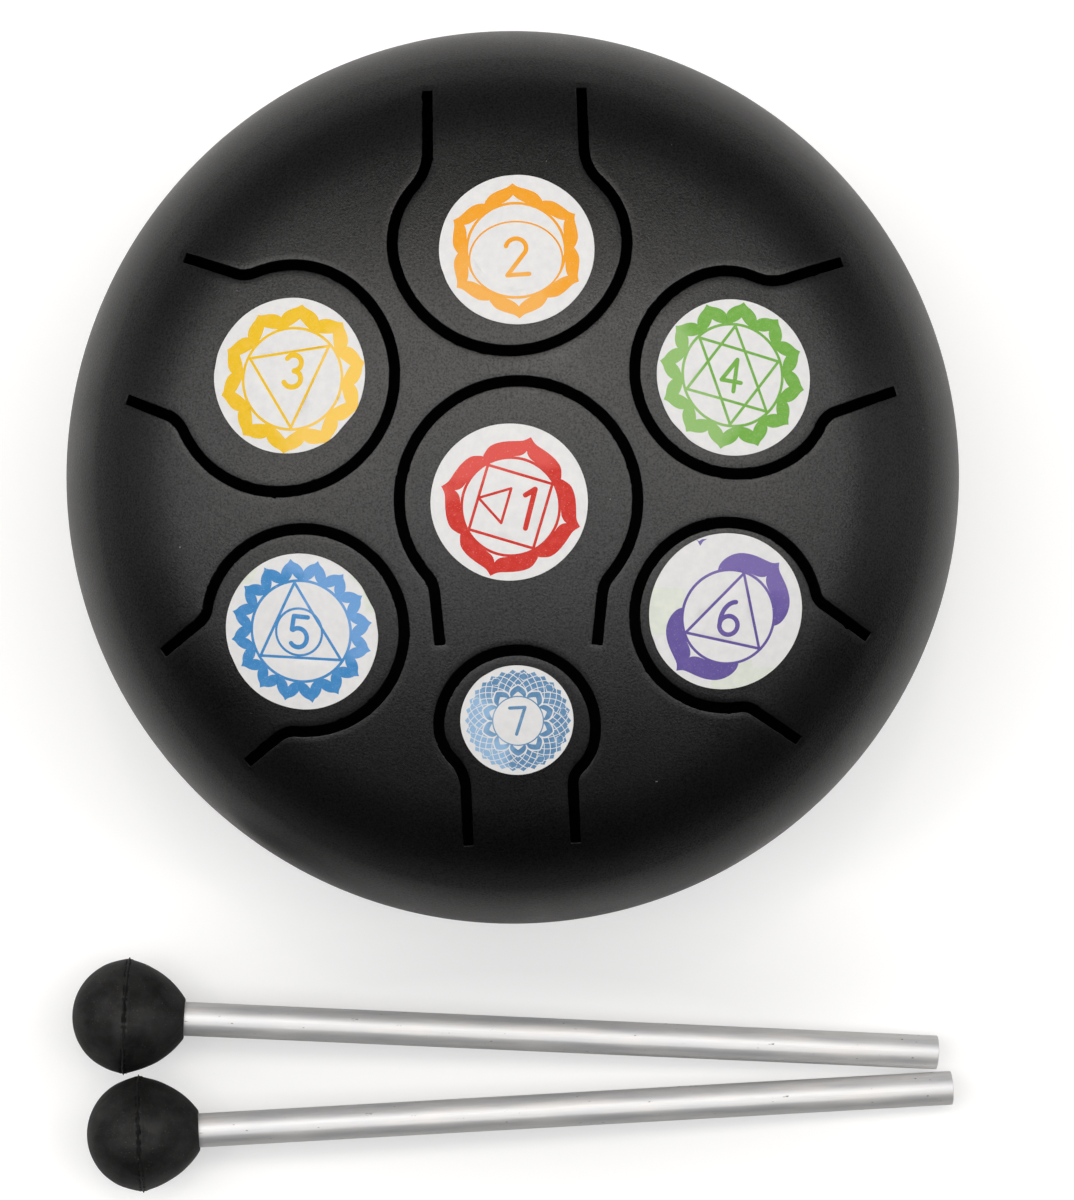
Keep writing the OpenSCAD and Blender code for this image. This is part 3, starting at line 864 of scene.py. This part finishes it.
def printed_sticker(tongue, seed):
    """One closed disc of paper on the crown, its top split along the print's outlines."""
    radius = small_sticker_r if tongue.name == "light_blue" else sticker_r
    radius_mm = radius / MM
    edge = cut_edge(radius_mm, *cuts[tongue.name], seed)
    shapes = [(PAPER, edge)] + prints[tongue.name]
    points, faces = [], []
    for kind, shape in shapes:
        ids = list(range(len(points), len(points) + len(shape)))
        points += shape
        faces.append(ids if clockwise(points, ids) < 0 else ids[::-1])
    spacing = 1.3
    reach = int(radius_mm / spacing)
    for row in range(-reach, reach + 1):
        for column in range(-reach, reach + 1):
            p = Vector(((column + 0.5 * (row % 2)) * spacing, 0.87 * row * spacing))
            if p.length < radius_mm - 0.5:
                points.append(p)
    flat, _, cells, _, _, owners = geometry.delaunay_2d_cdt(points, [], faces, 0, 1e-6, True)
    up, east, north = sticker_spot(tongue)
    made = bmesh.new()

    def on_crown(p, lift):
        """A point of the paper, in millimetres from its middle, laid on the crown."""
        reach_mm = p.length
        angle = reach_mm * MM / crown_r
        way = up * math.cos(angle)
        if reach_mm > 0:
            way += (east * p.x + north * p.y) / reach_mm * math.sin(angle)
        return way * (crown_r + lift) + Vector((0, 0, crown_z)) + rim_centre

    tops = [made.verts.new(on_crown(p, sticker_t)) for p in flat]
    feet = [made.verts.new(on_crown(p, 0)) for p in flat]
    for cell, owner in zip(cells, owners):
        if 0 in owner:
            face = made.faces.new([tops[k] for k in cell])
            face.material_index = shapes[max(owner)][0]
            made.faces.new([feet[k] for k in reversed(cell)])
    below = dict(zip(tops, feet))
    for rim_edge in [e for e in made.edges if e.is_boundary and e.verts[0] in below]:
        a, b = rim_edge.verts
        made.faces.new([a, b, below[b], below[a]])
    bmesh.ops.delete(made, geom=[v for v in made.verts if not v.link_faces], context="VERTS")
    strong, pale, pale_deg = inks[tongue.name]
    centre = up * (crown_r + sticker_t) + Vector((0, 0, crown_z)) + rim_centre
    ink = ink_finish(f"ink_{tongue.name}", strong, pale, pale_deg, centre, radius)
    piece = finished_piece(f"sticker_{tongue.name}_print", made, [paper, ink, tinted], crease_deg=50)
    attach(piece, "drum")
    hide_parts(f"sticker_{tongue.name}")


paper = paper_finish("label_paper", (0.635, 0.64, 0.645), (0.69, 0.685, 0.68))
tinted = paper_finish("tinted_paper", (0.60, 0.635, 0.57), (0.655, 0.68, 0.61))
for seed, tongue in enumerate(tongues, 1):
    printed_sticker(tongue, seed)


# Feet: three moulded rubber studs, each on a clear acrylic glue disc under the bottom half.
# The glue discs keep their solids; the feet's tops follow the crown that they are glued to.
foot_place_r = 36 * MM
foot_r = 7 * MM
foot_tip_r = 5.5 * MM
foot_h = 6.5 * MM
foot_edge_r = 0.5 * MM
foot_wall_gap = 0.3 * MM
glue_t = 0.3 * MM
dimple_r = 2.6 * MM
dimple_depth = 0.5 * MM
dimple_slope = 0.6 * MM
dimple_lip = 0.15 * MM
dimple_lip_drop = 0.12 * MM
foot_sizes = {"Place radius": foot_place_r, "First angle": math.radians(90)}
bottom_crown_z = rim_centre.z - crown_z


def moulded_rubber(name, color, roughness, dust, grit):
    """Matt black rubber: a fine moulded grain, a dusty bloom and a few pale specks."""
    material, shader = new_finish(name, color, roughness, specular=0.4)
    fine = grain(shader, 0.25 * MM, 4)
    bloom = ramp(shader, grain(shader, 6 * MM, 4), (0.35, 0), (0.75, 1))
    specks = ramp(shader, grain(shader, grit, 1), (dust, 0), (dust + 0.04, 1))
    tone = mixed(shader, bloom, toned(color, 0.75), toned(color, 1.6))
    linked(shader, mixed(shader, specks, tone, (0.06, 0.047, 0.04)), "Base Color")
    linked(shader, ramp(shader, grain(shader, 4 * MM, 8), (0.38, 0.5), (0.6, 0)), "Metallic")
    bumped(shader, (fine, 0.02 * MM), (specks, 0.03 * MM))
    return material


def glued_z(v):
    """Height of the glue's underside over a foot's vertex, drawn at the axis as the foot is."""
    x = foot_place_r + v.co.x
    return bottom_crown_z - math.sqrt((crown_r + glue_t) ** 2 - x * x - v.co.y * v.co.y)


top_z = 1.5 * foot_h
stud_section = [(0, dimple_depth), (dimple_r - dimple_slope, dimple_depth),
                (dimple_r, dimple_lip_drop), (dimple_r + dimple_lip, 0)]
stud_section += bent((foot_tip_r - foot_edge_r, foot_edge_r), foot_edge_r, math.pi, quarter, edge_steps)
stud_section += [(foot_r, foot_h)]
stud_section += [(foot_r * share, top_z) for share in (1, 0.95, 0.8, 0.6, 0.4, 0.2, 0)]
stud = turned(stud_section, 64)
for v in stud.verts:
    if v.co.z > foot_h + MM:
        v.co.z = glued_z(v)
    elif v.co.z > foot_h - MM:
        v.co.z = min(foot_h, glued_z(v) - foot_wall_gap)
bmesh.ops.recalc_face_normals(stud, faces=stud.faces)
stud_mesh = bpy.data.meshes.new("stud")
stud.to_mesh(stud_mesh)
stud.free()

foot_rubber = moulded_rubber("foot_rubber", (0.01, 0.01, 0.01), 0.7, 0.8, 0.7 * MM)
tree, size = new_tree("feet", start=True, **foot_sizes)
spots = step(tree, "MeshCircle", {"Radius": size["Place radius"], "Vertices": 3})
index = step(tree, "InputIndex")
around = sums(tree, "ADD", sums(tree, "MULTIPLY", index, 2 * math.pi / 3), size["First angle"])
first = vector(tree, Z=size["First angle"])
spots = step(tree, "Transform", {0: spots, "Rotation": first})
studs = step(tree, "InstanceOnPoints",
             {"Points": spots, "Instance": size["Start"], "Rotation": vector(tree, Z=around)})
ended(tree, size, studs)
feet_mesh = grown("feet", tree, foot_rubber, start=stud_mesh, **foot_sizes)
bmesh.ops.translate(feet_mesh, verts=feet_mesh.verts, vec=(axis.x, axis.y, 0))
rubber_feet = finished_piece("rubber_feet", feet_mesh, [foot_rubber], crease_deg=40)
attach(rubber_feet, "drum")
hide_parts("foot_1", "foot_2", "foot_3")

glue, shader = new_finish("acrylic_glue", (0.62, 0.6, 0.52), 0.35)
cloudy = grain(shader, 0.8 * MM, 3)
linked(shader, ramp(shader, cloudy, (0.3, (0.52, 0.5, 0.42)), (0.7, (0.7, 0.68, 0.6))), "Base Color")
for number in (1, 2, 3):
    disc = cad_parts[f"foot_{number}_adhesive"]
    disc.data.materials.clear()
    disc.data.materials.append(glue)


# Mallets: a length of drawn aluminium tube, cut square, with a rubber ball pushed on one end.
# The ball is moulded in two halves, and the seam between them keeps a ragged fin of flash.
mallet_len = 154 * MM
tube_r = 3 * MM
tube_past = 2 * MM
head_r = 10 * MM
flash_h = 0.5 * MM
nose_len = 0.955 * head_r
mouth_len = 1.02 * head_r
mouth_arc_r = 1.5 * head_r
lip_w = 0.6 * MM
lip_r = tube_r + lip_w
lip_edge_r = 0.15 * MM
dish_depth = 0.7 * MM
flash_r = head_r + flash_h
seam_half_w = 0.75 * MM
swell_h, swell_reach = 0.2 * MM, 1 * MM
groove_at, groove_half_w, groove_depth = 0.28 * MM, 0.2 * MM, 0.3 * MM
fin_h, fin_half_w = 0.28 * MM, 0.12 * MM
seam_wander, wander_reach = 0.2 * MM, 0.7 * MM
dent_depth, dent_w = 0.05 * MM, 2 * MM
outer_from_r = tube_r + 1 * MM
pair_gap = 8.7 * MM
mallet_gap = 0.3 * MM
stagger = 2.6 * MM
reach = mallet_len - nose_len
tilt = math.atan2(flash_r - tube_r, reach)
head_sep = head_r + flash_r + mallet_gap
splay = math.asin((head_sep - 2 * tube_r - mallet_gap) / 2 / reach)
pair_y = axis.y - (drum_r + pair_gap + flash_r + head_sep / 2)
tube_sizes = {"Length": reach + tube_past, "Outer radius": tube_r, "Wall": 1 * MM,
              "Edge radius": 0.12 * MM}


def laid_mallet(side):
    """Where a mallet drawn along +X lies; side 1 is the one nearer to the drum."""
    in_plan = reach * math.cos(tilt) * math.cos(splay)
    place = Vector((-(in_plan - nose_len) / 2 - side * stagger / 2, pair_y + side * head_sep / 2,
                    flash_r * math.cos(tilt)))
    return (Matrix.Translation(place) @ Matrix.Rotation(-side * splay, 4, "Z")
            @ Matrix.Rotation(tilt, 4, "Y"))


tree, size = new_tree("tube", **tube_sizes)
middle = sums(tree, "SUBTRACT", size["Outer radius"], sums(tree, "DIVIDE", size["Wall"], 2))
path = step(tree, "CurvePrimitiveCircle", {"Radius": middle, "Resolution": 96})
wall = step(tree, "CurvePrimitiveQuadrilateral", {"Width": size["Wall"], "Height": size["Length"]})
wall = step(tree, "SubdivideCurve", {0: wall, "Cuts": 5})
wall = step(tree, "FilletCurve", {0: wall, "Radius": size["Edge radius"], "Count": 4,
                                  "Limit Radius": True}, mode="POLY")
tube = step(tree, "CurveToMesh", {"Curve": path, "Profile Curve": wall})
ended(tree, size, step(tree, "Transform", {0: tube, "Rotation": (0, quarter, 0)}))


def drawn_aluminium(name, lie):
    """Satin drawn tube: fine lines along it, soft blotches, handling marks and small scratches."""
    material, shader = new_finish(name, (0.7, 0.7, 0.7), 0.6, metallic=0.75)
    along = mapped(shader, on_piece(shader), lie.to_translation(), lie.to_euler())
    lines = grain(shader, 0.16 * MM, 3, mapped(shader, along, scale=(60, 1, 1)))
    blotches = grain(shader, 1.7 * MM, 3, mapped(shader, along, scale=(9, 1, 1)))
    nicks = grain(shader, 0.55 * MM, 2, mapped(shader, along, scale=(3.5, 1, 1)))
    scratches = ramp(shader, nicks, (0.71, 0), (0.76, 1))
    tone = ramp(shader, blotches, (0.3, (0.63, 0.64, 0.66)), (0.7, (0.79, 0.775, 0.76)))
    lined = mixed(shader, ramp(shader, lines, (0.4, 0), (0.8, 0.35)), tone, (0.52, 0.52, 0.53))
    linked(shader, mixed(shader, scratches, lined, (0.22, 0.21, 0.2)), "Base Color")
    linked(shader, ramp(shader, blotches, (0.3, 0.55), (0.7, 0.64)), "Roughness")
    bumped(shader, (lines, 0.008 * MM), (scratches, 0.02 * MM))
    return material


def ball_section():
    """The ball's section as (r, x): its nose, the rows of its seam, its mouth and its socket."""
    nose_x = (head_r ** 2 - nose_len ** 2) / (2 * nose_len)
    chord = Vector((mouth_len, lip_r - head_r))
    rise = math.sqrt(mouth_arc_r ** 2 - chord.length_squared / 4)
    mouth_c = Vector((0, head_r)) + chord / 2 + rise * Vector((chord.y, -chord.x)).normalized()
    start = math.atan2(head_r - mouth_c.y, -mouth_c.x)
    finish = math.atan2(lip_r - mouth_c.y, mouth_len - mouth_c.x)
    nose = bent((0, nose_x), nose_len + nose_x, math.pi, math.atan2(head_r, -nose_x), 48)[:-1]
    mouth = bent((mouth_c.y, mouth_c.x), mouth_arc_r, start, finish, 44)
    rows = (0.06, 0.12, 0.2, 0.3, 0.42, 0.55)
    seam = [(head_r, x * MM) for x in (*(-x for x in rows[::-1]), 0, *rows)]
    socket = [(lip_r - lip_edge_r, mouth_len + 0.05 * MM), (lip_r - 0.35 * MM, mouth_len - 0.02 * MM),
              (tube_r + 0.08 * MM, mouth_len - dish_depth / 2), (tube_r, mouth_len - dish_depth),
              (tube_r, -tube_past), (0, -tube_past)]
    return ([p for p in nose if p[1] < -seam_half_w] + seam
            + [p for p in mouth if p[1] > seam_half_w] + socket)


def rubber_ball(seed):
    """The ball along +X. At its seam it swells to a ragged fin between two broken grooves, and the
    seam wanders a little. The fin stands whole at the two sides, where the set's box can end."""
    def moulded(r, x, angle):
        """A point of the section at an angle round X, with the mould's faults on the outside."""
        if r < outer_from_r:
            return (x, r * math.cos(angle), r * math.sin(angle))
        off = abs(x)
        spot = Vector((4.1 * math.cos(angle), 4.1 * math.sin(angle), 9.7 * seed))
        ragged = 0.5 + 0.5 * noise.fractal(4 * spot, 0.8, 2.2, 4)
        ragged = min(1.0, max(0.15, ragged, abs(math.cos(angle)) ** 60))
        broken = min(1.0, max(0.1, 0.6 + 1.4 * noise.fractal(9 * spot, 0.8, 2.2, 3)))
        r += swell_h * math.exp(-off / swell_reach)
        r -= groove_depth * broken * max(0.0, 1 - abs(off - groove_at) / groove_half_w)
        r += fin_h * ragged * max(0.0, 1 - off / fin_half_w)
        r += dent_depth * noise.noise(Vector((x / dent_w, spot.x, spot.y + seed)))
        x += seam_wander * noise.noise(2 * spot) * max(0.0, 1 - off / wander_reach)
        return (x, r * math.cos(angle), r * math.sin(angle))

    return turned(ball_section(), 288, moulded)


head_rubber = moulded_rubber("head_rubber", (0.0078, 0.0076, 0.0075), 0.62, 0.7, 0.3 * MM)
middle_x = (reach - tube_past) / 2
for number, side in ((1, 1), (2, -1)):
    lie = laid_mallet(side)
    satin = drawn_aluminium(f"drawn_tube_{number}", lie)
    tube_mesh = grown("tube", tree, satin, **tube_sizes)
    bmesh.ops.transform(tube_mesh, verts=tube_mesh.verts,
                        matrix=lie @ Matrix.Translation((middle_x, 0, 0)))
    handle = finished_piece(f"mallet_{number}_handle", tube_mesh, [satin], crease_deg=12)
    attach(handle, f"mallet_{number}")
    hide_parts(f"mallet_{number}_tube")
    ball = rubber_ball(number)
    bmesh.ops.transform(ball, verts=ball.verts, matrix=lie)
    beater = finished_piece(f"mallet_{number}_ball", ball, [head_rubber], crease_deg=60)
    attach(beater, f"mallet_{number}")
    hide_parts(f"mallet_{number}_head")


# Stage: a plain floor that the camera alone sees as white, but for a painted pale grey shade round
# the mallets, two soft boxes overhead, a panel to each side and three small warm lamps that put
# glints on the shell. The world is darkest on the near side, as the photographed room is, and the
# camera looks straight down.
floor_half = 3
floor_drop = 0.1 * MM
floor_middle = (0, 0.13, 0)
mallets_middle = (0.0, -0.077, 0)
mallets_reach = (0.14, 0.043, 1)
box_x, box_z, box_w = -0.12, 1.2, 2.8
panel_x, panel_y, panel_z = 1.6, 0.1, 0.5
spot_z, spot_w, spot_watts = 1.15, 0.06, 0.6
warm = (1, 0.88, 0.75)

corners = [(-floor_half, -floor_half, 0), (floor_half, -floor_half, 0),
           (floor_half, floor_half, 0), (-floor_half, floor_half, 0)]
floor_mesh = bpy.data.meshes.new("floor")
floor_mesh.from_pydata(corners, [], [(0, 1, 2, 3)])
floor = put("floor", floor_mesh)
floor.location.z = -floor_drop
white, shader = new_finish("white_floor", (0.76, 0.76, 0.76), 0.9)
floor_mesh.materials.append(white)


def to_camera(owner, strength):
    """A value that is the strength for camera rays, and nothing for all others."""
    seen = added(owner, "ShaderNodeLightPath").outputs["Is Camera Ray"]
    return sums(owner, "MULTIPLY", seen, strength)


def distance(shader, place, middle):
    """How far a place is from a middle."""
    return added(shader, "ShaderNodeVectorMath", {0: place, 1: middle},
                 operation="DISTANCE").outputs["Value"]


# Round the mallets the floor's colour is painted greyer and its glow is raised: a painted pale
# shade round them, with softer shadows. Far out the floor reflects less and glows more, which keeps
# its light off the shell's sides. Under the drum the glow fades to nothing towards the middle, where
# the slots and the sound hole would show it.
where = on_piece(shader)
beside = distance(shader, mapped(shader, where, mallets_middle, scale=mallets_reach), (0, 0, 0))
from_middle = distance(shader, where, floor_middle)
from_axis = distance(shader, where, (axis.x, axis.y, 0))
# Painted shade: the floor's colour is darker round the mallets, a pale grey patch; far out it is darker
# too, so it reflects little
tone = sums(shader, "MULTIPLY", ramp(shader, from_middle, (0.21, 0.76), (0.41, 0.17)),
            ramp(shader, beside, (0.35, 0.55), (0.8, 1.0)))
linked(shader, tone, "Base Color")
# Painted light: the camera-only glow is stronger round the mallets, which pales their shadows
painted_light_glow = ramp(shader, beside, (0.35, 0.45), (0.8, 0.36))
clear = ramp(shader, from_axis, (0.03, 0.0), (0.078, 1.0))
far_out = ramp(shader, from_middle, (0.2, 0.0), (0.6, 0.6))
glow = sums(shader, "MULTIPLY_ADD", painted_light_glow, clear, far_out)
shader.inputs["Emission Color"].default_value = (1, 1, 1, 1)
linked(shader, to_camera(shader, glow), "Emission Strength")


def soft_lamp(name, place, target, width, depth, watts, color=(1, 1, 1)):
    """A rectangular soft box that faces a point."""
    data = bpy.data.lights.new(name, "AREA")
    data.shape = "RECTANGLE"
    data.size, data.size_y = width, depth
    data.energy = watts
    data.color = color
    lamp = put(name, data)
    lamp.location = place
    lamp.rotation_euler = (Vector(target) - Vector(place)).to_track_quat("-Z", "Y").to_euler()
    lamp.visible_camera = False


for name, y, depth, watts, color in (("overhead", -0.05, 0.7, 13.1, (0.98, 0.99, 1)),
                                     ("overhead_far", 0.465, 0.33, 12.9, (1, 0.975, 0.95))):
    soft_lamp(name, (box_x, y, box_z), (box_x, y, 0), box_w, depth, watts, color)
for side, watts in ((-1, 1.0), (1, 1.6)):
    place = (side * panel_x, panel_y, panel_z)
    soft_lamp("side_panel", place, (0, panel_y, panel_z), 0.9, 0.8, watts)
for name, x, y in (("side_spot", -0.57, 0), ("side_spot", 0.57, 0), ("far_spot", 0, 0.36)):
    soft_lamp(name, (x, y, spot_z), (0, 0, 0), spot_w, spot_w, spot_watts, warm)

world = bpy.data.worlds.new("studio")
bpy.context.scene.world = world
world.use_nodes = True
background = world.node_tree.nodes["Background"]
background.inputs["Color"].default_value = (1, 1, 1, 1)
way = added(background, "ShaderNodeTexCoord").outputs["Generated"]
far_share = added(background, "ShaderNodeSeparateXYZ", {0: way}).outputs["Y"]
room = added(background, "ShaderNodeMapRange", {
    "Value": far_share, "From Min": -0.4, "From Max": 0.3, "To Min": 0.005, "To Max": 0.1})
seen = to_camera(background, 0.93)
linked(background, sums(background, "ADD", seen, room.outputs["Result"]), "Strength")

camera_data = bpy.data.cameras.new("camera")
focal_px, frame_px = 4144, 1200
camera_right, camera_near, camera_up = 4.07 * MM, 20.56 * MM, 700 * MM
camera_data.lens = camera_data.sensor_width * focal_px / frame_px
camera = put("camera", camera_data)
camera.location = (axis.x + camera_right, axis.y - camera_near, rim_centre.z + camera_up)
bpy.context.scene.camera = camera
bpy.context.scene.view_settings.view_transform = "Standard"
